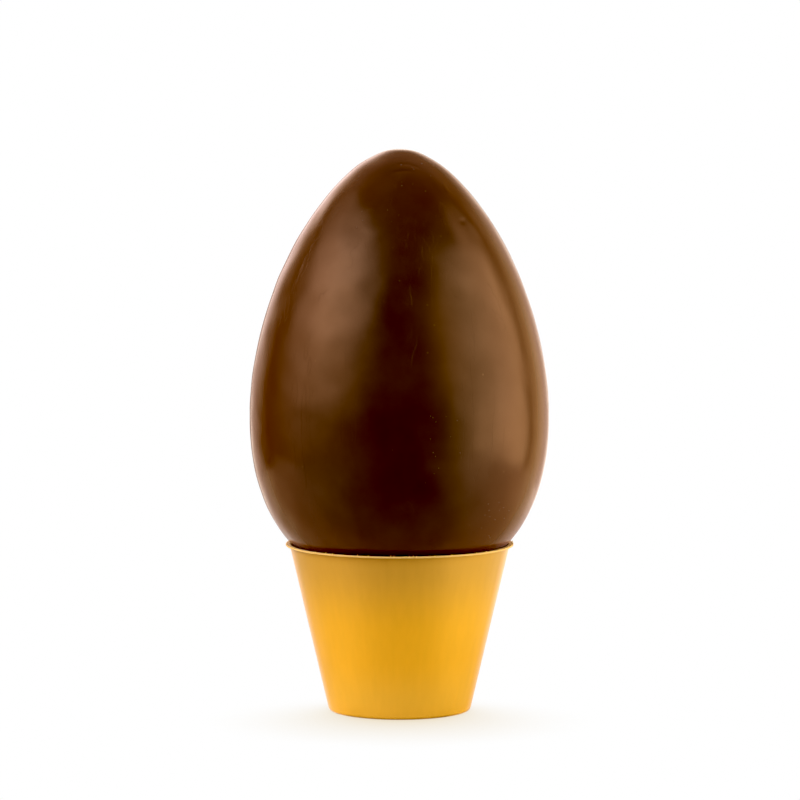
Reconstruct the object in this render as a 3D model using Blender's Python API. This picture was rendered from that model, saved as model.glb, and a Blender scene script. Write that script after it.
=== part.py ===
"""A chocolate egg standing in a thin gold plastic cup.

The egg is cast in two halves that are joined along an upright plane, which
leaves a low bead round it. It stands blunt end down in a cup formed from thin
plastic sheet, and rests on the cup's rolled-out mouth.

Units are metres, +Z is up. The origin is the middle of the cup's foot, on the
surface that the cup stands on.
"""

import math

import bmesh
import bpy

# Egg
EGG_LENGTH = 0.1540
EGG_WIDTH = 0.1050
# The outline departs from an ellipse by a cubic in the share of the length:
# the first number points the upper end, the others keep the flanks full.
EGG_SHAPE = (-0.2234, 0.0299, -0.0775)
EGG_RINGS = 44
EGG_COLUMNS = 70
WIDTH_STEPS = 2000

# The bead where the egg's two halves are joined
SEAM_TURN = math.radians(3.0)
SEAM_HALF_WIDTH = 0.0008
SEAM_HEIGHT = 0.0002
SEAM_WIDEST_TURN = 0.4 * 2.0 * math.pi / EGG_COLUMNS

# Cup
SHEET = 0.0005
CUP_HEIGHT = 0.0590
CUP_FOOT_RADIUS = 0.0249
CUP_MOUTH_RADIUS = 0.0388
LIP_RADIUS = 0.0401
LIP_BEND_RADIUS = 0.0005
FOOT_BEND_RADIUS = 0.0014
FOOT_RING_WIDTH = 0.0035
FOOT_RISE = 0.0010
FOOT_RISE_RUN = 0.0012
CUP_COLUMNS = 64
BEND_STEPS = 3

# The egg's outline passes this far inside the cup's mouth, at the lip's height,
# which leaves the bead clear of the lip.
SEAT_GAP = 0.0004


def clear_scene():
    for obj in list(bpy.data.objects):
        bpy.data.objects.remove(obj)


def material(name, colour, roughness, metallic):
    made = bpy.data.materials.new(name)
    made.use_nodes = True
    shader = made.node_tree.nodes["Principled BSDF"]
    shader.inputs["Base Color"].default_value = (*colour, 1.0)
    shader.inputs["Roughness"].default_value = roughness
    shader.inputs["Metallic"].default_value = metallic
    return made


def add_object(name, bm, finish):
    mesh = bpy.data.meshes.new(name)
    bmesh.ops.recalc_face_normals(bm, faces=bm.faces)
    bm.to_mesh(mesh)
    bm.free()
    mesh.materials.append(finish)
    mesh.shade_smooth()
    mesh.set_sharp_from_angle(angle=math.radians(35.0))
    obj = bpy.data.objects.new(name, mesh)
    bpy.context.scene.collection.objects.link(obj)
    return obj


# The egg's outline


def unit_radius(turn):
    """The outline's half width before it is scaled to the egg's width.

    turn runs from 0 at the pointed end to pi at the blunt end.
    """
    along = math.cos(turn)
    first, second, third = EGG_SHAPE
    fullness = 1.0 + first * along + second * along**2 + third * along**3
    return math.sin(turn) * fullness


WIDEST = max(unit_radius(math.pi * i / WIDTH_STEPS) for i in range(WIDTH_STEPS))


def egg_outline(turn):
    """Half width and height of the outline, from the middle of the length."""
    radius = EGG_WIDTH / 2.0 * unit_radius(turn) / WIDEST
    return radius, EGG_LENGTH / 2.0 * math.cos(turn)


def egg_middle():
    """Height of the middle of the egg once it is seated in the cup's mouth."""
    seat_radius = CUP_MOUTH_RADIUS - SHEET - SEAT_GAP
    above, below = math.pi / 2.0, math.pi
    while below - above > 1e-9:
        middle = (above + below) / 2.0
        if egg_outline(middle)[0] > seat_radius:
            above = middle
        else:
            below = middle
    return CUP_HEIGHT - egg_outline(above)[1]


# Egg


def column_turns(radius):
    """The turns round the axis of one ring's points, as (turn, bead height).

    Each half has evenly spaced columns, and three more, close together, carry
    the bead at either side. The bead keeps its width along the surface until
    the ring is too small to hold it.
    """
    spread = min(SEAM_HALF_WIDTH / radius, SEAM_WIDEST_TURN)
    lift = SEAM_HEIGHT * min(1.0, radius * SEAM_WIDEST_TURN / SEAM_HALF_WIDTH)
    half_columns = EGG_COLUMNS // 2
    turns = []
    for side in (0.0, math.pi):
        start = SEAM_TURN + side
        turns += [(start - spread, 0.0), (start, lift), (start + spread, 0.0)]
        for step in range(1, half_columns):
            turns.append((start + math.pi * step / half_columns, 0.0))
    return turns


def egg_ring(bm, turn, middle):
    radius, height = egg_outline(turn)
    ring = []
    for around, lift in column_turns(radius):
        reach = radius + lift
        place = (reach * math.cos(around), reach * math.sin(around), middle + height)
        ring.append(bm.verts.new(place))
    return ring


def make_egg(finish):
    bm = bmesh.new()
    middle = egg_middle()
    tip = bm.verts.new((0.0, 0.0, middle + EGG_LENGTH / 2.0))
    bottom = bm.verts.new((0.0, 0.0, middle - EGG_LENGTH / 2.0))
    turns = [math.pi * i / EGG_RINGS for i in range(1, EGG_RINGS)]
    rings = [egg_ring(bm, turn, middle) for turn in turns]
    for upper, lower in zip(rings, rings[1:]):
        for i in range(len(upper)):
            bm.faces.new((upper[i - 1], upper[i], lower[i], lower[i - 1]))
    for i in range(len(rings[0])):
        bm.faces.new((tip, rings[0][i], rings[0][i - 1]))
        bm.faces.new((bottom, rings[-1][i - 1], rings[-1][i]))
    return add_object("egg", bm, finish)


# Cup


def bend(centre, radius, first_angle, last_angle):
    """Points on an arc of the sheet's middle line, both ends included."""
    points = []
    for step in range(BEND_STEPS + 1):
        angle = first_angle + (last_angle - first_angle) * step / BEND_STEPS
        x = centre[0] + radius * math.cos(angle)
        points.append((x, centre[1] + radius * math.sin(angle)))
    return points


def cup_middle_line():
    """The sheet's middle line, from the axis out and up to the lip's edge."""
    half = SHEET / 2.0
    slope = math.atan2(CUP_MOUTH_RADIUS - CUP_FOOT_RADIUS, CUP_HEIGHT)
    wall_at_foot = CUP_FOOT_RADIUS - half / math.cos(slope)
    foot_height = half
    lip_height = CUP_HEIGHT - half

    # Where the foot turns up into the wall: the arc touches the foot's plane
    # and the leaning wall.
    centre_z = foot_height + FOOT_BEND_RADIUS
    wall_there = wall_at_foot + math.tan(slope) * centre_z
    centre_x = wall_there - FOOT_BEND_RADIUS / math.cos(slope)
    foot_bend = bend((centre_x, centre_z), FOOT_BEND_RADIUS, -math.pi / 2.0, -slope)

    # Where the wall turns out into the lip.
    centre_z = lip_height - LIP_BEND_RADIUS
    wall_there = wall_at_foot + math.tan(slope) * centre_z
    centre_x = wall_there + LIP_BEND_RADIUS / math.cos(slope)
    lip_bend = bend(
        (centre_x, centre_z), LIP_BEND_RADIUS, math.pi - slope, math.pi / 2.0
    )

    ring_inside = foot_bend[0][0] - FOOT_RING_WIDTH
    raised = foot_height + FOOT_RISE
    raised_floor = [(0.0, raised), (ring_inside - FOOT_RISE_RUN, raised)]
    foot_ring = [(ring_inside, foot_height)]
    lip_edge = [(LIP_RADIUS, lip_height)]
    return raised_floor + foot_ring + foot_bend + lip_bend + lip_edge


def offset_line(points, distance):
    """The line moved sideways by distance, to its right where that is positive.

    At a corner the moved point lies on both of the moved stretches.
    """
    moved = []
    for i, (x, z) in enumerate(points):
        normals = []
        for j in (i - 1, i):
            if 0 <= j < len(points) - 1:
                run = points[j + 1][0] - points[j][0]
                rise = points[j + 1][1] - points[j][1]
                length = math.hypot(run, rise)
                normals.append((rise / length, -run / length))
        normal_x = sum(normal[0] for normal in normals) / len(normals)
        normal_z = sum(normal[1] for normal in normals) / len(normals)
        stretch = distance / (normal_x**2 + normal_z**2)
        moved.append((x + normal_x * stretch, z + normal_z * stretch))
    return moved


def make_cup(finish):
    bm = bmesh.new()
    line = cup_middle_line()
    outside = offset_line(line, SHEET / 2.0)
    inside = offset_line(line, -SHEET / 2.0)
    section = outside + inside[::-1]
    verts = [bm.verts.new((x, 0.0, z)) for x, z in section]
    edges = [bm.edges.new(pair) for pair in zip(verts, verts[1:])]
    bmesh.ops.spin(
        bm,
        geom=verts + edges,
        cent=(0.0, 0.0, 0.0),
        axis=(0.0, 0.0, 1.0),
        angle=2.0 * math.pi,
        steps=CUP_COLUMNS,
        use_merge=True,
    )
    bmesh.ops.remove_doubles(bm, verts=bm.verts, dist=1e-6)
    return add_object("cup", bm, finish)


clear_scene()
make_egg(material("chocolate", (0.075, 0.026, 0.008), 0.32, 0.0))
make_cup(material("gold_plastic", (0.80, 0.42, 0.045), 0.38, 0.6))
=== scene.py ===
"""A chocolate egg, point up, in the thin gold plastic cup that it stands in.

Everything is in metres, +Z is up, and the origin is the middle of the cup's foot.
"""

import math

import bpy
import numpy as np
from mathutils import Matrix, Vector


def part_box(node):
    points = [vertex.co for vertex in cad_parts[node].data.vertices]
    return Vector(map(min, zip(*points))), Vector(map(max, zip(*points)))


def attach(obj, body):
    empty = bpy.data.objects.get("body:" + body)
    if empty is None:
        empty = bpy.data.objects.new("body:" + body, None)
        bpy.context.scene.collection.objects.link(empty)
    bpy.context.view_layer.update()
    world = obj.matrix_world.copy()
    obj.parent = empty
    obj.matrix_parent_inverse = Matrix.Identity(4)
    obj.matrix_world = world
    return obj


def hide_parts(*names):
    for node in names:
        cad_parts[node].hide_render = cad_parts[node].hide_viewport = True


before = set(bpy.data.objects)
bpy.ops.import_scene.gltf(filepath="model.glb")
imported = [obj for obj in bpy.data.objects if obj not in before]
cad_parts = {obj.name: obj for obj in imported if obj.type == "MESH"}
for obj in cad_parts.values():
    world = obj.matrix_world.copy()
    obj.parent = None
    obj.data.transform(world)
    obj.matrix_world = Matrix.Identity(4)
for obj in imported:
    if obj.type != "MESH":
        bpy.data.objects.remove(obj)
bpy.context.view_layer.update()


# ----------------------------------------------------------------------------
# The egg
#
# A hollow shell of milk chocolate, cast as two halves in a polished mould and
# joined along an upright plane. The seam is left as a low bead, and the shell
# has shrunk a little unevenly from its mould, so its gloss is slightly wavy.
# ----------------------------------------------------------------------------

# The outline, which stays just inside the egg's solid, and its fullness: what
# goes with the cosine of the turn, with its square and with its cube
END_CLEARANCE = 0.00002
SIDE_CLEARANCE = 0.00004
EGG_BOTTOM, EGG_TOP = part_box("egg")
EGG_MIDDLE = (EGG_BOTTOM.z + EGG_TOP.z) / 2.0
EGG_HALF_LENGTH = (EGG_TOP.z - EGG_BOTTOM.z) / 2.0 - END_CLEARANCE
EGG_RADIUS = EGG_TOP.y - SIDE_CLEARANCE
EGG_SHAPE = (-0.2234, 0.0299, -0.0775)

# Turns close enough together to read the outline from, and the step of the turn
# that its slant is taken over
ALL_TURNS = np.linspace(0.0, np.pi, 2001)
NEXT_TURN = 1e-4

# The grid: rings crowd towards the tip, and columns towards the seam
EGG_RINGS = 280
EGG_COLUMNS = 354
TIP_CROWDING = 2.5
TIP_CROWDING_REACH = 0.80
SEAM_CROWDING = 0.33

# The seam's plane, and the bead along it, which fades out close to the axis
SEAM_TURN = math.radians(3.0)
BEAD_HALF_WIDTH = 0.0008
BEAD_HEIGHT = 0.0002
BEAD_FADE_RADIUS = 0.006

# Uneven shrinkage: seed, number of waves, shortest and longest wave, slope. The
# short waves are lower on the right, past a band across the middle, and all of
# them fade out where the sine of the turn times the fade is under one.
LONG_WAVES = (7, 22, 0.024, 0.060, 0.010)
SHORT_WAVES = (11, 34, 0.008, 0.020, 0.035)
SHORT_WAVES_RIGHT = 0.40
SHORT_WAVES_CHANGE = 0.02
POLE_FADE = 4.0

# The blunter tip: how far each step stands out, how deep it lies and its reach,
# and the distance from the axis within which they fade out
TIP_STEPS = ((0.00025, 0.0, 0.0009), (-0.00033, 0.0028, 0.0019))
TIP_FADE_RADIUS = 0.004

# Marks in the front, where the shell clung to its mould: the middle's side and
# height, half length, half width, angle, bend, and how far it stands out
MARKS = (
    (0.0196, 0.1790, 0.0150, 0.0016, math.radians(-50.0), 0.0, 0.00018),
    (0.0160, 0.1845, 0.0022, 0.0005, math.radians(-60.0), 20.0, 0.00014),
    (0.0218, 0.1735, 0.0009, 0.0007, math.radians(-50.0), 0.0, -0.00010),
    (0.0026, 0.1928, 0.0044, 0.0005, math.radians(-6.0), -45.0, -0.00010),
    (0.0008, 0.1906, 0.0034, 0.0005, math.radians(4.0), -45.0, -0.00008),
    (-0.0094, 0.1782, 0.0014, 0.0005, math.radians(-8.0), -120.0, 0.00005),
    (-0.0100, 0.1740, 0.0040, 0.0030, math.radians(60.0), 0.0, 0.00008),
    (-0.0405, 0.1455, 0.0052, 0.0022, math.radians(75.0), 0.0, -0.00016),
    (-0.0330, 0.1300, 0.0070, 0.0040, math.radians(20.0), 0.0, -0.00012),
    (-0.0230, 0.1240, 0.0080, 0.0040, math.radians(-50.0), 0.0, -0.00010),
    (-0.0330, 0.1110, 0.0060, 0.0032, math.radians(15.0), 0.0, 0.00014),
    (-0.0240, 0.1030, 0.0050, 0.0030, math.radians(-30.0), 0.0, -0.00012),
    (0.0185, 0.1080, 0.0080, 0.0032, math.radians(-70.0), 0.0, 0.00012),
    (0.0020, 0.1010, 0.0200, 0.0050, math.radians(8.0), 0.0, -0.00008),
)


def unit_radius(turn):
    """The outline's half width for turns from 0 at the tip to pi at the bottom.

    The sine of the turn, times a cubic in its cosine.
    """
    along = np.cos(turn)
    first, second, third = EGG_SHAPE
    return np.sin(turn) * (1.0 + first * along + second * along**2 + third * along**3)


def egg_outline(turn):
    """Half width and height of the outline at each turn.

    The egg's radius times the unit radius over its widest, and the egg's middle
    plus half its length times the cosine of the turn.
    """
    widest = unit_radius(ALL_TURNS).max()
    return EGG_RADIUS * unit_radius(turn) / widest, EGG_MIDDLE + EGG_HALF_LENGTH * np.cos(turn)


def plane_waves(points, seed, count, shortest, longest, slope):
    """A gently uneven height over points: a sum of sine waves.

    Each wave runs in a random direction with a random length. Its height is its
    length times the slope, over two pi and the square root of their number.
    """
    random = np.random.default_rng(seed)
    way = random.normal(size=(count, 3))
    way /= np.linalg.norm(way, axis=1, keepdims=True)
    length = shortest * (longest / shortest) ** random.random(count)
    phase = random.random(count) * 2.0 * np.pi
    height = slope * length / (2.0 * np.pi * np.sqrt(count))
    return (np.sin(points @ (way / length[:, None]).T * 2.0 * np.pi + phase) * height).sum(axis=-1)


def bead(around, radius):
    """The seam's height: a rounded bead along both sides of the seam's plane.

    One minus the square of the distance from the plane over the bead's half
    width, squared, and lower towards the axis at either end.
    """
    off_plane = radius * np.abs(np.sin(around - SEAM_TURN))
    across = np.clip(1.0 - (off_plane / BEAD_HALF_WIDTH) ** 2, 0.0, 1.0) ** 2
    return BEAD_HEIGHT * across * np.clip(radius / BEAD_FADE_RADIUS, 0.0, 1.0)


def marks(points):
    """The marks' height: each a ridge or a hollow with soft sides and ends.

    One minus the fourth power along it and the square across it, in the
    exponent, where across is counted from a line bent into a parabola.
    """
    height = 0.0
    for side, level, half_length, half_width, angle, curve, stands_out in MARKS:
        x = points[..., 0] - side
        z = points[..., 2] - level
        along = x * math.cos(angle) + z * math.sin(angle)
        across = z * math.cos(angle) - x * math.sin(angle) - curve * along**2
        shape = np.exp(-((along / half_length) ** 4) - (across / half_width) ** 2)
        height = height + stands_out * shape
    return height * (points[..., 1] < 0.0)


def blunt_tip(depth):
    """The tip is a little blunter than the curve: out just below it, then in.

    A sum of bells, each falling off with the square of the depth from its own.
    """
    height = 0.0
    for stands_out, middle, reach in TIP_STEPS:
        height = height + stands_out * np.exp(-(((depth - middle) / reach) ** 2))
    return height


def add_piece(name, points, faces):
    """A smooth mesh object at the origin, from an array of points and of faces."""
    mesh = bpy.data.meshes.new(name)
    mesh.from_pydata(points.tolist(), [], faces)
    mesh.shade_smooth()
    mesh.update()
    piece = bpy.data.objects.new(name, mesh)
    bpy.context.scene.collection.objects.link(piece)
    return piece


def around_axis(radius, azimuth, height):
    """Points at the given distances from the axis, azimuths and heights.

    Distance times the cosine and the sine of the azimuth, and the height.
    """
    place = np.broadcast_arrays(radius * np.cos(azimuth), radius * np.sin(azimuth), height)
    return np.stack(place, axis=-1)


def closed_faces(rings, columns):
    """Four-sided faces between neighbouring rings, and a fan over either end.

    Rings run from top to bottom and columns anticlockwise seen from above, so
    the faces point outwards. The fans' middles are the two points after the
    last ring, the top one first.
    """
    ring = np.arange(rings - 1)[:, None] * columns
    column = np.arange(columns)
    after = (column + 1) % columns
    corners = (ring + column, ring + columns + column, ring + columns + after, ring + after)
    count = rings * columns
    last = count - columns
    top = (count + 0 * column, column, after)
    bottom = (count + 1 + 0 * column, last + after, last + column)
    return (
        np.stack(corners, axis=-1).reshape(-1, 4).tolist()
        + np.stack(top, axis=-1).tolist()
        + np.stack(bottom, axis=-1).tolist()
    )


def crowded_turns():
    """The rings' turns, closer together towards the tip, where the marks are finest.

    Even steps of a sum whose rate is one, and more by the crowding times a bell
    of the fourth power of the turn.
    """
    density = 1.0 + TIP_CROWDING * np.exp(-((ALL_TURNS / TIP_CROWDING_REACH) ** 4))
    total = np.cumsum(density) - density[0]
    return np.interp(np.linspace(0.0, total[-1], EGG_RINGS + 2), total, ALL_TURNS)[1:-1]


def make_egg():
    """Turned outline, moved square to itself by the waves and marks, and the bead.

    The columns' azimuths are even ones less the crowding times the sine of twice
    themselves. It is closed at both ends, and only the bead is wider than the
    plain outline is at its widest.
    """
    turn = crowded_turns()[:, None]
    even = np.linspace(0.0, 2.0 * np.pi, EGG_COLUMNS, endpoint=False)[None, :]
    around = SEAM_TURN + even - SEAM_CROWDING * np.sin(2.0 * even)
    radius, height = egg_outline(turn)
    further_radius, further_height = egg_outline(turn + NEXT_TURN)
    outwards = height - further_height
    upwards = further_radius - radius
    slant = np.hypot(outwards, upwards)
    plain = around_axis(radius, around, height)

    right = np.clip(0.5 + plain[..., 0] / SHORT_WAVES_CHANGE, 0.0, 1.0)
    short_share = 1.0 - (1.0 - SHORT_WAVES_RIGHT) * right
    uneven = plane_waves(plain, *LONG_WAVES) + short_share * plane_waves(plain, *SHORT_WAVES)
    uneven = (uneven + marks(plain)) * np.clip(np.sin(turn) * POLE_FADE, 0.0, 1.0)
    blunt = blunt_tip(EGG_TOP.z - height) * np.clip(radius / TIP_FADE_RADIUS, 0.0, 1.0)
    reach = radius + uneven * outwards / slant + blunt
    reach = np.minimum(reach, EGG_RADIUS) + bead(around, radius)
    points = around_axis(reach, around, height + uneven * upwards / slant).reshape(-1, 3)

    tip = [0.0, 0.0, EGG_MIDDLE + EGG_HALF_LENGTH]
    bottom = [0.0, 0.0, EGG_MIDDLE - EGG_HALF_LENGTH]
    faces = closed_faces(EGG_RINGS, EGG_COLUMNS)
    return add_piece("egg_shell", np.concatenate([points, [tip, bottom]]), faces)


def new_material(name):
    """A material, its node tree and its shader."""
    material = bpy.data.materials.new(name)
    material.use_nodes = True
    return material, material.node_tree, material.node_tree.nodes["Principled BSDF"]


def set_inputs(node, values):
    """Each input, by name or number, set to its value or linked to it."""
    for name, value in values.items():
        if isinstance(value, bpy.types.NodeSocket):
            node.id_data.links.new(value, node.inputs[name])
        else:
            node.inputs[name].default_value = value


def add_node(tree, kind, values=None, **settings):
    """A node with its settings and inputs."""
    node = tree.nodes.new(kind)
    for name, value in settings.items():
        setattr(node, name, value)
    set_inputs(node, values or {})
    return node


def calculate(tree, operation, *values):
    """The result of a math node."""
    inputs = dict(enumerate(values))
    return add_node(tree, "ShaderNodeMath", inputs, operation=operation).outputs[0]


def noise(tree, vector, scale, detail=2.0, roughness=0.5):
    """A noise texture's value."""
    inputs = {"Vector": vector, "Scale": scale, "Detail": detail, "Roughness": roughness}
    return add_node(tree, "ShaderNodeTexNoise", inputs).outputs["Fac"]


def spread(tree, value, start, end, low=0.0, high=1.0, kind="LINEAR"):
    """Value between start and end spread over low to high, and held beyond them."""
    inputs = {"Value": value, "From Min": start, "From Max": end, "To Min": low, "To Max": high}
    return add_node(tree, "ShaderNodeMapRange", inputs, interpolation_type=kind).outputs["Result"]


def smooth_step(tree, value, start, end, low=0.0, high=1.0):
    """Value spread over low to high in the same way, with a smooth start and end."""
    return spread(tree, value, start, end, low, high, "SMOOTHSTEP")


def opaque(colour):
    """A colour with full alpha, or a link as it is."""
    return colour if isinstance(colour, bpy.types.NodeSocket) else (*colour, 1.0)


def mix_colours(tree, share, first, second):
    """The first colour where share is 0 and the second where it is 1."""
    inputs = {0: share, 6: opaque(first), 7: opaque(second)}
    return add_node(tree, "ShaderNodeMix", inputs, data_type="RGBA").outputs[2]


def ramp(tree, value, *stops):
    """A colour ramp over value, through the given (position, colour) stops."""
    node = add_node(tree, "ShaderNodeValToRGB", {"Fac": value})
    elements = node.color_ramp.elements
    while len(elements) < len(stops):
        elements.new(0.5)
    for element, (position, colour) in zip(elements, stops):
        element.position = position
        element.color = opaque(colour)
    return node.outputs["Color"]


def new_group(name, sockets):
    """A shader node group, what it is given, and its output node.

    Each socket is its name, INPUT or OUTPUT, and its kind: Color, Float or Vector.
    """
    group = bpy.data.node_groups.new(name, "ShaderNodeTree")
    for socket, direction, kind in sockets:
        group.interface.new_socket(socket, in_out=direction, socket_type="NodeSocket" + kind)
    return group, add_node(group, "NodeGroupInput").outputs, add_node(group, "NodeGroupOutput")


def make_edge_sheen_and_shade_group():
    """Painted sheen and shade: one colour seen square on, turning smoothly to another seen edge on.
    """
    inputs = [(name, "INPUT", "Color") for name in ("Color", "Edge Color")]
    inputs += [(name, "INPUT", "Float") for name in ("Facing", "Start", "End")]
    group, given, result = new_group("edge_sheen_and_shade", inputs + [("Color", "OUTPUT", "Color")])
    share = smooth_step(group, given["Facing"], given["Start"], given["End"])
    set_inputs(result, {"Color": mix_colours(group, share, given["Color"], given["Edge Color"])})
    return group


# Between these lies nearly every value of a noise
NOISE_RANGE = (0.3, 0.7)

# Scratches: the turns of the axes that they run along, their stretch along
# these, their width, and from where to where the second noise brings them in
SCRATCH_TURNS = ((0.4, 0.5, 0.0), (-0.9, 0.3, 0.7), (1.3, -0.6, 0.2))
SCRATCH_STRETCH = (1.0, 1.0, 0.06)
SCRATCH_WIDTH = 0.004
SCRATCH_KEPT = (0.56, 0.64)


def make_satin_group():
    """An uneven satin finish: cloudy roughness, and a height of grain and scratches.

    Clouds and grain are noise. A scratch is where a noise drawn out along a
    turned axis is close to a half, kept only where a second noise is high.
    """
    names = ("Roughness", "Roughness Spread", "Cloud Scale", "Grain Scale", "Grain Height")
    names += ("Scratch Scale", "Scratch Depth")
    sockets = [("Vector", "INPUT", "Vector")] + [(name, "INPUT", "Float") for name in names]
    sockets += [(name, "OUTPUT", "Float") for name in ("Roughness", "Height")]
    group, given, result = new_group("satin", sockets)
    vector = given["Vector"]

    clouds = noise(group, vector, given["Cloud Scale"], detail=4.0, roughness=0.55)
    clouds = spread(group, clouds, *NOISE_RANGE, low=-1.0, high=1.0)
    rough = calculate(group, "MULTIPLY_ADD", clouds, given["Roughness Spread"], given["Roughness"])

    grain = noise(group, vector, given["Grain Scale"], detail=3.0, roughness=0.6)
    height = calculate(group, "MULTIPLY", grain, given["Grain Height"])
    for turn in SCRATCH_TURNS:
        inputs = {"Vector": vector, "Rotation": turn, "Scale": SCRATCH_STRETCH}
        drawn = add_node(group, "ShaderNodeMapping", inputs).outputs[0]
        lines = noise(group, drawn, given["Scratch Scale"], detail=1.0)
        lines = calculate(group, "COMPARE", lines, 0.5, SCRATCH_WIDTH)
        kept = spread(group, noise(group, drawn, given["Cloud Scale"]), *SCRATCH_KEPT)
        scratch = calculate(group, "MULTIPLY", lines, kept)
        depth = calculate(group, "MULTIPLY", scratch, given["Scratch Depth"])
        height = calculate(group, "SUBTRACT", height, depth)

    set_inputs(result, {"Roughness": rough, "Height": height})
    return group


edge_sheen_and_shade_group = make_edge_sheen_and_shade_group()
satin_group = make_satin_group()


def edge_sheen_and_shade(tree, colour, edge_colour, start, end):
    """The painted sheen and shade group on a colour, from how far the surface turns away."""
    facing = add_node(tree, "ShaderNodeLayerWeight", {"Blend": 0.5}).outputs["Facing"]
    inputs = {
        "Color": opaque(colour),
        "Edge Color": opaque(edge_colour),
        "Facing": facing,
        "Start": start,
        "End": end,
    }
    return add_node(tree, "ShaderNodeGroup", inputs, node_tree=edge_sheen_and_shade_group).outputs["Color"]


BUMP_DISTANCE = 0.001


def add_satin(tree, shader, vector, values):
    """The satin group on a material: its height through a bump, and its roughness given back."""
    inputs = {"Vector": vector, **values}
    satin = add_node(tree, "ShaderNodeGroup", inputs, node_tree=satin_group).outputs
    inputs = {"Height": satin["Height"], "Distance": BUMP_DISTANCE}
    bump = add_node(tree, "ShaderNodeBump", inputs).outputs["Normal"]
    set_inputs(shader, {"Normal": bump})
    return satin["Roughness"]


# Colours square on, in the paler blotches, towards the sides and at the very rim
# (these two a painted sheen), and in the flecks, and from where to where the
# surface has to turn away for the painted sheen
CHOCOLATE = (0.0720, 0.0310, 0.0152)
CHOCOLATE_PALE = (0.0910, 0.0405, 0.0205)
CHOCOLATE_SIDE_SHEEN = (0.137, 0.0445, 0.0158)
CHOCOLATE_RIM_SHEEN = (0.370, 0.175, 0.150)
CHOCOLATE_FLECK = (0.115, 0.056, 0.026)
SIDE_SHEEN_TURN = (0.12, 0.69)
RIM_SHEEN_TURN = (0.61, 0.93)

# Blotches are noise, from plain to pale. Flecks are the middles of cells: their
# size in a cell, and the cells' random value above which there is one.
BLOTCH_SCALE = 70.0
BLOTCH_RANGE = (0.35, 0.72)
FLECK_SCALE = 420.0
FLECK_SIZE = 0.16
FLECK_CHOICE = 0.97

CHOCOLATE_GLOSS = {
    "Metallic": 0.42,
    "IOR": 1.5,
    "Specular IOR Level": 0.11,
    "Specular Tint": (1.0, 0.81, 0.42, 1.0),
}
CHOCOLATE_SATIN = {
    "Roughness": 0.205,
    "Roughness Spread": 0.050,
    "Cloud Scale": 90.0,
    "Grain Scale": 900.0,
    "Grain Height": 0.014,
    "Scratch Scale": 260.0,
    "Scratch Depth": 0.020,
}


def make_chocolate():
    """Brown, blotched and flecked, with a painted sheen: paler and warmer where it is seen edge on.
    """
    material, tree, shader = new_material("chocolate")
    place = add_node(tree, "ShaderNodeTexCoord").outputs["Object"]
    blotches = noise(tree, place, BLOTCH_SCALE, detail=4.0)
    colour = ramp(tree, blotches, *zip(BLOTCH_RANGE, (CHOCOLATE, CHOCOLATE_PALE)))

    inputs = {"Vector": place, "Scale": FLECK_SCALE}
    cells = add_node(tree, "ShaderNodeTexVoronoi", inputs, feature="F1").outputs
    small = calculate(tree, "LESS_THAN", cells["Distance"], FLECK_SIZE)
    few = add_node(tree, "ShaderNodeSeparateXYZ", {0: cells["Color"]}).outputs["X"]
    few = calculate(tree, "GREATER_THAN", few, FLECK_CHOICE)
    colour = mix_colours(tree, calculate(tree, "MULTIPLY", small, few), colour, CHOCOLATE_FLECK)

    # Painted sheen: redder towards the sides, paler and warmer at the very rim
    colour = edge_sheen_and_shade(tree, colour, CHOCOLATE_SIDE_SHEEN, *SIDE_SHEEN_TURN)
    colour = edge_sheen_and_shade(tree, colour, CHOCOLATE_RIM_SHEEN, *RIM_SHEEN_TURN)
    roughness = add_satin(tree, shader, place, CHOCOLATE_SATIN)
    set_inputs(shader, {"Base Color": colour, "Roughness": roughness, **CHOCOLATE_GLOSS})
    return material


egg = make_egg()
egg.data.materials.append(make_chocolate())
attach(egg, "root")
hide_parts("egg")


# ----------------------------------------------------------------------------
# The crumbs
#
# Grains of chocolate dust, up to half a millimetre across, that have stayed on
# the egg: some low on its right side, some beside its middle, some near its tip.
# ----------------------------------------------------------------------------

# Seed, number, and for the azimuth and the height the middle and the spread
CRUMB_PATCHES = (
    (3, 11, math.radians(-43.0), math.radians(10.0), 0.0730, 0.0045),
    (12, 14, math.radians(-73.0), math.radians(7.0), 0.0970, 0.0130),
    (5, 9, math.radians(-68.0), math.radians(22.0), 0.1870, 0.0060),
    (8, 6, math.radians(-110.0), math.radians(20.0), 0.1780, 0.0080),
)
CRUMB_RADII = (0.00011, 0.00024)

# A lopsided double pyramid: its six corners, and its faces by corner
CRUMB_SHAPE = np.array(
    [
        (1.0, 0.0, 0.0),
        (-0.9, 0.1, 0.1),
        (0.1, 1.1, 0.0),
        (0.0, -0.9, 0.2),
        (0.1, 0.0, 0.8),
        (0.0, 0.1, -0.9),
    ]
)
CRUMB_FACES = np.array(
    [(0, 2, 4), (2, 1, 4), (1, 3, 4), (3, 0, 4), (2, 0, 5), (1, 2, 5), (3, 1, 5), (0, 3, 5)]
)


def egg_surface(azimuth, height):
    """Points of the plain outline at the given azimuths and heights."""
    radius, level = egg_outline(ALL_TURNS)
    return around_axis(np.interp(height, level[::-1], radius[::-1]), azimuth, height)


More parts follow.
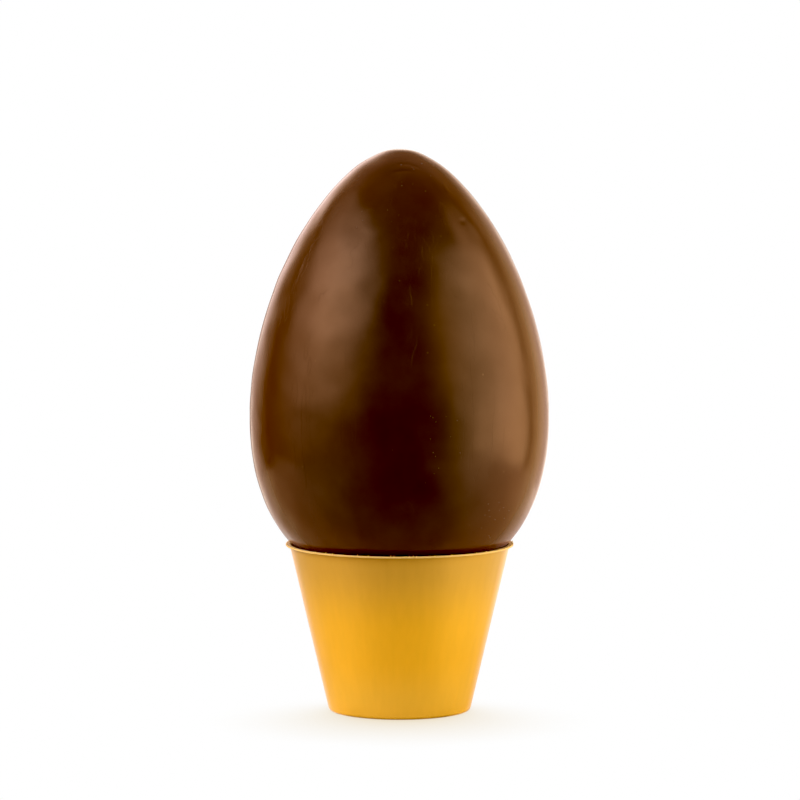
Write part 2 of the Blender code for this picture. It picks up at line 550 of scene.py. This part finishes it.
def make_crumbs():
    """Lopsided eight-sided grains, each turned at random and half sunk in the egg.

    The double pyramid's corners times the grain's radius, times a random rotation,
    plus a random point of the egg's outline.
    """
    points = []
    faces = []
    for seed, count, azimuth, azimuth_spread, height, height_spread in CRUMB_PATCHES:
        random = np.random.default_rng(seed)
        middles = egg_surface(
            azimuth + azimuth_spread * random.uniform(-1.0, 1.0, count),
            height + height_spread * random.uniform(-1.0, 1.0, count),
        )
        radii = random.uniform(*CRUMB_RADII, count)
        for middle, radius in zip(middles, radii):
            turned = np.linalg.qr(random.normal(size=(3, 3)))[0]
            turned = turned * np.sign(np.linalg.det(turned))
            faces += (CRUMB_FACES + len(CRUMB_SHAPE) * len(points)).tolist()
            points.append(middle + radius * CRUMB_SHAPE @ turned.T)
    return add_piece("chocolate_crumbs", np.concatenate(points), faces)


CRUMB_COLOUR = (0.18, 0.095, 0.050)
CRUMB_NOISE_SCALE = 900.0
CRUMB_NOISE_RANGE = (0.3, 0.6)
CRUMB_ROUGHNESS = 0.6


def make_crumb_chocolate():
    """Broken chocolate: paler than the polished skin and matt."""
    material, tree, shader = new_material("crumb_chocolate")
    place = add_node(tree, "ShaderNodeTexCoord").outputs["Object"]
    mixed = noise(tree, place, CRUMB_NOISE_SCALE)
    colour = ramp(tree, mixed, *zip(CRUMB_NOISE_RANGE, (CHOCOLATE_PALE, CRUMB_COLOUR)))
    set_inputs(shader, {"Base Color": colour, "Roughness": CRUMB_ROUGHNESS})
    return material


crumbs = make_crumbs()
crumbs.data.materials.append(make_crumb_chocolate())
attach(crumbs, "root")


# ----------------------------------------------------------------------------
# The cup
#
# Half a millimetre of gold plastic sheet, drawn over a tapered mould: a foot
# that stands on a ring, a plain wall and a mouth turned out to a narrow lip.
# The lip was cut from the sheet by a worn die, which left a ragged edge.
# ----------------------------------------------------------------------------

SHEET = 0.0005
CUP_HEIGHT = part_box("cup")[1].z
CUP_FOOT_RADIUS = 0.0249
CUP_MOUTH_RADIUS = 0.0388
LIP_RADIUS = 0.0401
LIP_BEND_RADIUS = 0.00032
FOOT_BEND_RADIUS = 0.0011
FOOT_RING_WIDTH = 0.0035
FOOT_RISE = 0.0010
FOOT_RISE_RUN = 0.0012
FLOOR_START_RADIUS = 0.002
CUP_COLUMNS = 900
BEND_STEPS = 8
WALL_STEPS = 18
FLAT_STEPS = 4

# The wall's waves as on the egg, and how high up and how far down they fade in
WALL_WAVES = (21, 18, 0.015, 0.050, 0.004)
WALL_WAVES_FADE = 0.004

# The ragged edge and the burrs that stand on it: seed, number of waves, and the
# fewest and most of them to a turn. The edge is less ragged underneath, and a
# burr starts to rise one ring before the edge.
RAGGED = (31, 40, 40, 300)
RAGGED_DEPTH = 0.00012
RAGGED_UNDERNEATH = 0.6
BURRS = (32, 60, 80, 440)
BURR_HEIGHT = 0.00070
BURR_THRESHOLD = 1.2
BURR_ROOT = 0.3


def bend(centre, radius, first_angle, last_angle):
    """Points on an arc of the sheet's middle line, both ends included."""
    angle = np.linspace(first_angle, last_angle, BEND_STEPS + 1)
    return np.stack([centre[0] + radius * np.cos(angle), centre[1] + radius * np.sin(angle)], -1)


def straight(first, last, steps):
    """Evenly spaced points from first to last, without either of them."""
    share = np.linspace(0.0, 1.0, steps + 1)[1:-1, None]
    return np.asarray(first) * (1.0 - share) + np.asarray(last) * share


def cup_middle_line():
    """The sheet's middle line, from near the axis out and up to the lip's edge."""
    half = SHEET / 2.0
    slope = math.atan2(CUP_MOUTH_RADIUS - CUP_FOOT_RADIUS, CUP_HEIGHT)
    wall_at_foot = CUP_FOOT_RADIUS - half / math.cos(slope)

    foot_z = half + FOOT_BEND_RADIUS
    foot_x = wall_at_foot + math.tan(slope) * foot_z - FOOT_BEND_RADIUS / math.cos(slope)
    foot_bend = bend((foot_x, foot_z), FOOT_BEND_RADIUS, -math.pi / 2.0, -slope)

    lip_z = CUP_HEIGHT - half - LIP_BEND_RADIUS
    lip_x = wall_at_foot + math.tan(slope) * lip_z + LIP_BEND_RADIUS / math.cos(slope)
    lip_bend = bend((lip_x, lip_z), LIP_BEND_RADIUS, math.pi - slope, math.pi / 2.0)

    ring_inside = foot_x - FOOT_RING_WIDTH
    floor_start = (FLOOR_START_RADIUS, half + FOOT_RISE)
    floor_end = (ring_inside - FOOT_RISE_RUN, half + FOOT_RISE)
    ring_start = (ring_inside, half)
    lip_edge = (LIP_RADIUS, CUP_HEIGHT - half)
    return np.concatenate(
        [
            [floor_start],
            straight(floor_start, floor_end, FLAT_STEPS),
            [floor_end, ring_start],
            foot_bend,
            straight(foot_bend[-1], lip_bend[0], WALL_STEPS),
            lip_bend,
            straight(lip_bend[-1], lip_edge, FLAT_STEPS),
            [lip_edge],
        ]
    )


def offset_line(line, distance):
    """The line moved to its right by distance, square to it at every point."""
    along = np.gradient(line, axis=0)
    along /= np.linalg.norm(along, axis=1, keepdims=True)
    return line + distance * np.stack([along[:, 1], -along[:, 0]], axis=-1)


def ring_noise(around, seed, count, fewest, most):
    """A closed random curve of about unit height: a sum of cosines.

    Each has a random whole frequency and phase, and the sum is divided by the
    square root of half their number.
    """
    random = np.random.default_rng(seed)
    frequency = random.integers(fewest, most, count)[:, None]
    phase = random.random(count)[:, None] * 2.0 * np.pi
    return np.cos(frequency * around[None, :] + phase).sum(axis=0) / np.sqrt(count / 2.0)


def make_cup():
    """The sheet's section carried round the axis, uneven in the wall, ragged at the lip.

    The section runs along the sheet's inside from the floor to the lip's edge and
    back along its outside, and a fan closes either end at the axis.
    """
    line = cup_middle_line()
    outside = offset_line(line, SHEET / 2.0)
    inside = offset_line(line, -SHEET / 2.0)
    section = np.concatenate([inside, outside[::-1]])
    around = np.linspace(0.0, 2.0 * np.pi, CUP_COLUMNS, endpoint=False)
    radius = section[:, None, 0] + 0.0 * around
    height = section[:, None, 1] + 0.0 * around

    above_foot = np.clip(height / WALL_WAVES_FADE, 0.0, 1.0)
    below_lip = np.clip((CUP_HEIGHT - height) / WALL_WAVES_FADE, 0.0, 1.0)
    waves = plane_waves(around_axis(radius, around, height), *WALL_WAVES)
    radius = radius + above_foot * below_lip * waves

    top_edge = len(line) - 1
    low_edge = len(line)
    ragged = np.clip(0.5 + 0.5 * ring_noise(around, *RAGGED), 0.0, 1.5)
    burr = np.clip(ring_noise(around, *BURRS) - BURR_THRESHOLD, 0.0, 1.0)
    radius[top_edge] -= RAGGED_DEPTH * ragged
    radius[low_edge] -= RAGGED_DEPTH * RAGGED_UNDERNEATH * ragged
    height[top_edge] += BURR_HEIGHT * burr
    height[top_edge - 1] += BURR_ROOT * BURR_HEIGHT * burr

    points = around_axis(radius, around, height).reshape(-1, 3)
    middles = [[0.0, 0.0, section[0, 1]], [0.0, 0.0, section[-1, 1]]]
    faces = closed_faces(len(section), CUP_COLUMNS)
    return add_piece("gold_cup", np.concatenate([points, middles]), faces)


# The wall's colour, a painted shade near the lip under the egg and a painted
# shading near the foot, and the heights of these
GOLD = (0.985, 0.468, 0.036)
GOLD_LIP_SHADE = (0.72, 0.358, 0.052)
GOLD_FOOT_SHADING = (0.95, 0.485, 0.055)
LIP_SHADE_HEIGHTS = (0.030, 0.056)
FOOT_SHADING_HEIGHTS = (0.022, 0.004)

# What the wall is multiplied by towards its sides, a painted shade, and its
# colour edge on, a painted sheen
GOLD_SIDE_SHADE = (0.845, 0.84, 0.69)
GOLD_EDGE_SHEEN = (0.93, 0.56, 0.27)
GOLD_SIDE_SHADE_TURN = (0.02, 0.56)
GOLD_EDGE_SHEEN_TURN = (0.66, 0.96)

# Upright streaks: how they are stretched, their size, and what they multiply by
STREAK_STRETCH = (1.0, 1.0, 0.05)
STREAK_SCALE = 380.0
STREAK_SHADE = (0.975, 1.015)

# The lip's top, by height, which is matt and painted darker as the egg's shadow,
# and its cut edge, by distance out, painted paler as a highlight
GOLD_TOP_SHADOW = (0.42, 0.24, 0.05)
TOP_HEIGHT = (0.05868, 0.05888)
TOP_ROUGHNESS = 0.95
GOLD_CUT_HIGHLIGHT = (0.92, 0.56, 0.16)
CUT_RADIUS = (0.03980, 0.03998)

WHITE = (1.0, 1.0, 1.0)
GOLD_GLOSS = {"Metallic": 0.2, "Specular IOR Level": 0.12}
GOLD_SATIN = {
    "Roughness": 0.38,
    "Roughness Spread": 0.05,
    "Cloud Scale": 120.0,
    "Grain Scale": 1400.0,
    "Grain Height": 0.010,
    "Scratch Scale": 300.0,
    "Scratch Depth": 0.004,
}


def make_gold():
    """Metallised plastic with upright streaks of the drawing, and painted light.

    Painted shade browns the wall near the lip and darkens the lip's top under
    the egg, and darkens the sides; painted shading retones the foot; a painted
    sheen pales what is seen edge on, and a painted highlight the cut edge.
    """
    material, tree, shader = new_material("gold_plastic")
    place = add_node(tree, "ShaderNodeTexCoord").outputs["Object"]
    height = add_node(tree, "ShaderNodeSeparateXYZ", {0: place}).outputs["Z"]
    # Painted shade: browner near the lip, under the egg
    colour = ramp(tree, smooth_step(tree, height, *LIP_SHADE_HEIGHTS), (0.0, GOLD), (1.0, GOLD_LIP_SHADE))
    # Painted shading: a paler, less orange tone near the foot
    colour = mix_colours(tree, smooth_step(tree, height, *FOOT_SHADING_HEIGHTS), colour, GOLD_FOOT_SHADING)

    # Painted shade: darker and deeper yellow towards the sides
    inputs = {0: colour, 1: edge_sheen_and_shade(tree, WHITE, GOLD_SIDE_SHADE, *GOLD_SIDE_SHADE_TURN)}
    colour = add_node(tree, "ShaderNodeVectorMath", inputs, operation="MULTIPLY").outputs[0]
    inputs = {"Vector": place, "Scale": STREAK_STRETCH}
    drawn = add_node(tree, "ShaderNodeMapping", inputs).outputs[0]
    streaks = noise(tree, drawn, STREAK_SCALE, detail=3.0)
    inputs = {0: colour, "Scale": spread(tree, streaks, *NOISE_RANGE, *STREAK_SHADE)}
    colour = add_node(tree, "ShaderNodeVectorMath", inputs, operation="SCALE").outputs[0]

    inputs = {0: place, 1: (1.0, 1.0, 0.0)}
    level = add_node(tree, "ShaderNodeVectorMath", inputs, operation="MULTIPLY").outputs[0]
    reach = add_node(tree, "ShaderNodeVectorMath", {0: level}, operation="LENGTH").outputs["Value"]
    on_top = spread(tree, height, *TOP_HEIGHT)
    # Painted shadow: the lip's top darkened under the egg
    colour = mix_colours(tree, on_top, colour, GOLD_TOP_SHADOW)
    # Painted highlight: a paler line along the cut edge
    colour = mix_colours(tree, spread(tree, reach, *CUT_RADIUS), colour, GOLD_CUT_HIGHLIGHT)
    # Painted sheen: paler where the wall is seen edge on
    colour = edge_sheen_and_shade(tree, colour, GOLD_EDGE_SHEEN, *GOLD_EDGE_SHEEN_TURN)

    inputs = {0: on_top, 2: add_satin(tree, shader, drawn, GOLD_SATIN), 3: TOP_ROUGHNESS}
    roughness = add_node(tree, "ShaderNodeMix", inputs, data_type="FLOAT").outputs[0]
    set_inputs(shader, {"Base Color": colour, "Roughness": roughness, **GOLD_GLOSS})
    return material


cup = make_cup()
cup.data.materials.append(make_gold())
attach(cup, "root")
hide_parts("cup")


# ----------------------------------------------------------------------------
# The table
#
# A small round table top, matt and white, that the cup stands on. In what the
# egg mirrors it has a painted shade in front of the cup and glows to the right
# and behind.
# ----------------------------------------------------------------------------

TABLE_RADIUS = 0.36
TABLE_COLUMNS = 96


def make_table():
    """A flat disc whose top is at the foot's height."""
    around = np.linspace(0.0, 2.0 * np.pi, TABLE_COLUMNS, endpoint=False)
    return add_piece("table", around_axis(TABLE_RADIUS, around, 0.0), [list(range(TABLE_COLUMNS))])


# How white it is at most and at the front, where a painted shade darkens it, how
# far towards white it comes near the foot, and where it changes: along Y, and
# aside as the share of X in Y
TABLE_WHITE = 0.80
TABLE_FRONT_SHADE = 0.05
TABLE_NEAR_SHARE = 0.60
TABLE_FORWARDS = (-0.210, -0.042)
TABLE_ASIDE = (0.13, 1.50)

# The glow to the right and behind: where it starts, where it is full, how strong
TABLE_GLOW_RIGHT = (0.06, 0.22, 0.70)
TABLE_GLOW_BEHIND = (0.02, 0.16, 0.18)

# The soft painted shade round the foot: how far it reaches, which way the light
# that it takes away comes from, its colour, and how open it is where the shade ends
SHADE_REACH = 0.075
SHADE_LEAN = (0.0, 0.68, 0.73)
SHADE_COLOUR = (0.77, 0.62, 0.37)
SHADE_END = 0.80
SHADE_SAMPLES = 16

TABLE_MATT = {"Roughness": 0.9, "Specular IOR Level": 0.0}


def choose(tree, share, first, second):
    """The first value where share is 0 and the second where it is 1."""
    inputs = {0: share, 2: first, 3: second}
    return add_node(tree, "ShaderNodeMix", inputs, data_type="FLOAT").outputs[0]


def make_table_white():
    """White, with a painted shade for the camera where the foot hides the light from behind.

    For reflections and bounced light it is a white with a painted shade at the front.
    """
    material, tree, shader = new_material("table_white")
    place = add_node(tree, "ShaderNodeTexCoord").outputs["Object"]
    axes = add_node(tree, "ShaderNodeSeparateXYZ", {0: place}).outputs
    seen = add_node(tree, "ShaderNodeLightPath").outputs["Is Camera Ray"]

    near = smooth_step(tree, axes["Y"], *TABLE_FORWARDS, high=TABLE_NEAR_SHARE)
    sideways = calculate(tree, "ABSOLUTE", calculate(tree, "DIVIDE", axes["X"], axes["Y"]))
    lit = calculate(tree, "MAXIMUM", near, smooth_step(tree, sideways, *TABLE_ASIDE))
    # Painted shade: darker in front of the cup in reflections and bounced light
    grey = spread(tree, lit, 0.0, 1.0, TABLE_FRONT_SHADE, TABLE_WHITE)

    glow = 0.0
    for axis, (start, end, strength) in (("X", TABLE_GLOW_RIGHT), ("Y", TABLE_GLOW_BEHIND)):
        side = smooth_step(tree, axes[axis], start, end, high=strength)
        glow = calculate(tree, "MAXIMUM", side, glow)

    lean = add_node(tree, "ShaderNodeCombineXYZ", dict(enumerate(SHADE_LEAN))).outputs[0]
    inputs = {"Distance": SHADE_REACH, "Normal": lean}
    node = add_node(tree, "ShaderNodeAmbientOcclusion", inputs, samples=SHADE_SAMPLES)
    # Painted shadow round the foot from ambient occlusion, warm for the gold's bounced light
    shade = ramp(tree, node.outputs["AO"], (0.0, SHADE_COLOUR), (SHADE_END, WHITE))

    looks = {
        "Base Color": choose(tree, seen, grey, 0.0),
        "Emission Color": shade,
        "Emission Strength": choose(tree, seen, glow, 1.0),
    }
    set_inputs(shader, {**looks, **TABLE_MATT})
    return material


table = make_table()
table.data.materials.append(make_table_white())


# ----------------------------------------------------------------------------
# The light
#
# A white room, dim but for the patches of soft light that the egg mirrors: a
# large window of light at either side, and weaker ones behind and overhead.
# ----------------------------------------------------------------------------

PATCH_INPUTS = ("Near 0", "Near 1", "Far 1", "Far 0", "Low 0", "Low 1", "High 1", "High 0")
PATCH_INPUTS += ("Top Slope",)

# Each patch of light: which side its azimuth counts to, its colour, its edges in
# degrees and its top's slope. Azimuth 0 is towards the camera, 180 behind the egg.
PATCHES = {
    "right": (1.0, (4.20, 4.48, 4.26), (23, 85, 106, 122, -16.5, -13.5, 50, 69, 0.24)),
    "right_edge": (1.0, (0.70, 0.70, 0.60), (108, 113, 116, 123, 2, 12, 24, 34, 0.0)),
    "right_near": (1.0, (1.06, 0.90, 0.58), (15, 38, 42, 68, 0, 15, 28, 56, 0.0)),
    "right_low": (1.0, (0.66, 0.64, 0.50), (46, 64, 96, 108, -16.5, -13.5, -6, 6, 0.0)),
    "right_upper": (1.0, (1.50, 1.45, 1.30), (80, 92, 100, 110, 34, 41, 46, 54, 0.0)),
    "left": (-1.0, (4.15, 4.60, 5.42), (9, 64, 68, 138, 7, 40, 53, 68, 0.12)),
    "left_middle": (-1.0, (2.10, 2.02, 1.86), (15, 74, 64, 125, -8, 10, 24, 54, 0.0)),
    "left_low": (-1.0, (1.10, 0.97, 0.86), (12, 68, 74, 124, -38, -5, 30, 46, 0.0)),
    "left_top": (-1.0, (0.35, 0.34, 0.24), (10, 60, 110, 130, 40, 58, 70, 90, 0.0)),
    "back": (0.0, (0.58, 0.54, 0.50), (123, 140, 181, 182, -90, -89, 10, 66, 0.0)),
    "behind": (0.0, (1.80, 1.80, 1.80), (154, 187, 188, 189, -60, -50, 0, 36, 0.0)),
    "right_back": (1.0, (1.15, 1.10, 1.00), (117, 126, 134, 156, -50, -30, 2, 34, 0.0)),
    "left_back": (-1.0, (1.26, 1.28, 1.85), (133, 152, 164, 179, -6, 16, 18, 52, 0.0)),
    "ceiling": (0.0, (0.42, 0.43, 0.64), (90, 142, 181, 182, 28, 52, 91, 92, 0.0)),
    "front_top": (0.0, (0.14, 0.05, 0.12), (-2, -1, 84, 139, 40, 70, 91, 92, 0.0)),
}


def make_patch_group():
    """A soft-edged patch of sky between four edges, each a pair of angles.

    The mask is the product of a smooth step at each edge, from 0 at the edge's
    first angle to 1 at its second. Top Slope lowers the top edge by that many
    degrees for each degree of azimuth.
    """
    names = ("Azimuth", "Elevation") + PATCH_INPUTS
    sockets = [(name, "INPUT", "Float") for name in names] + [("Mask", "OUTPUT", "Float")]
    group, given, result = new_group("soft_patch", sockets)
    azimuth, elevation = given["Azimuth"], given["Elevation"]
    lowered = calculate(group, "MULTIPLY_ADD", azimuth, given["Top Slope"], elevation)
    mask = 1.0
    for value, edge in ((azimuth, "Near"), (azimuth, "Far"), (elevation, "Low"), (lowered, "High")):
        step = smooth_step(group, value, given[edge + " 0"], given[edge + " 1"])
        mask = calculate(group, "MULTIPLY", mask, step)
    set_inputs(result, {"Mask": mask})
    return group


def make_world():
    """White for the camera, and for all else a dim room with patches of light."""
    world = bpy.data.worlds.new("studio")
    world.use_nodes = True
    tree = world.node_tree
    way = add_node(tree, "ShaderNodeTexCoord").outputs["Generated"]
    axes = add_node(tree, "ShaderNodeSeparateXYZ", {0: way}).outputs
    to_camera = calculate(tree, "MULTIPLY", axes["Y"], -1.0)
    azimuth = calculate(tree, "DEGREES", calculate(tree, "ARCTAN2", axes["X"], to_camera))
    elevation = calculate(tree, "DEGREES", calculate(tree, "ARCSINE", axes["Z"]))
    both_ways = calculate(tree, "ABSOLUTE", azimuth)

    group = make_patch_group()
    light = (0.0, 0.0, 0.0)
    for name, (side, colour, edges) in PATCHES.items():
        turned = calculate(tree, "MULTIPLY", azimuth, side) if side else both_ways
        inputs = {"Azimuth": turned, "Elevation": elevation, **dict(zip(PATCH_INPUTS, edges))}
        patch = add_node(tree, "ShaderNodeGroup", inputs, node_tree=group, label=name)
        inputs = {0: patch.outputs["Mask"], 1: colour, 2: light}
        light = add_node(tree, "ShaderNodeVectorMath", inputs, operation="MULTIPLY_ADD").outputs[0]

    seen = add_node(tree, "ShaderNodeLightPath").outputs["Is Camera Ray"]
    set_inputs(tree.nodes["Background"], {"Color": mix_colours(tree, seen, light, WHITE)})
    return world


bpy.context.scene.world = make_world()


# ----------------------------------------------------------------------------
# The camera
#
# A long lens a little above the egg, looking slightly down, and a view that
# keeps white white and lets the darkest browns go a little darker.
# ----------------------------------------------------------------------------

CAMERA_DISTANCE = 1.5315
CAMERA_HEIGHT = 0.2439
CAMERA_SIDE = 0.00014
CAMERA_PITCH = math.radians(5.01)
CAMERA_REACH = 20.0
LENS = 196.9
SENSOR_WIDTH = 36.0
BLACK_LEVEL = (0.0205, 0.0195, 0.020)

camera_data = bpy.data.cameras.new("camera")
camera_data.lens = LENS
camera_data.sensor_width = SENSOR_WIDTH
camera_data.clip_end = CAMERA_REACH
camera = bpy.data.objects.new("camera", camera_data)
camera.location = (CAMERA_SIDE, -CAMERA_DISTANCE, CAMERA_HEIGHT)
camera.rotation_euler = (math.pi / 2.0 - CAMERA_PITCH, 0.0, 0.0)
bpy.context.scene.collection.objects.link(camera)
bpy.context.scene.camera = camera

view = bpy.context.scene.view_settings
view.view_transform = "Standard"
view.look = "None"
view.use_curve_mapping = True
view.curve_mapping.black_level = BLACK_LEVEL
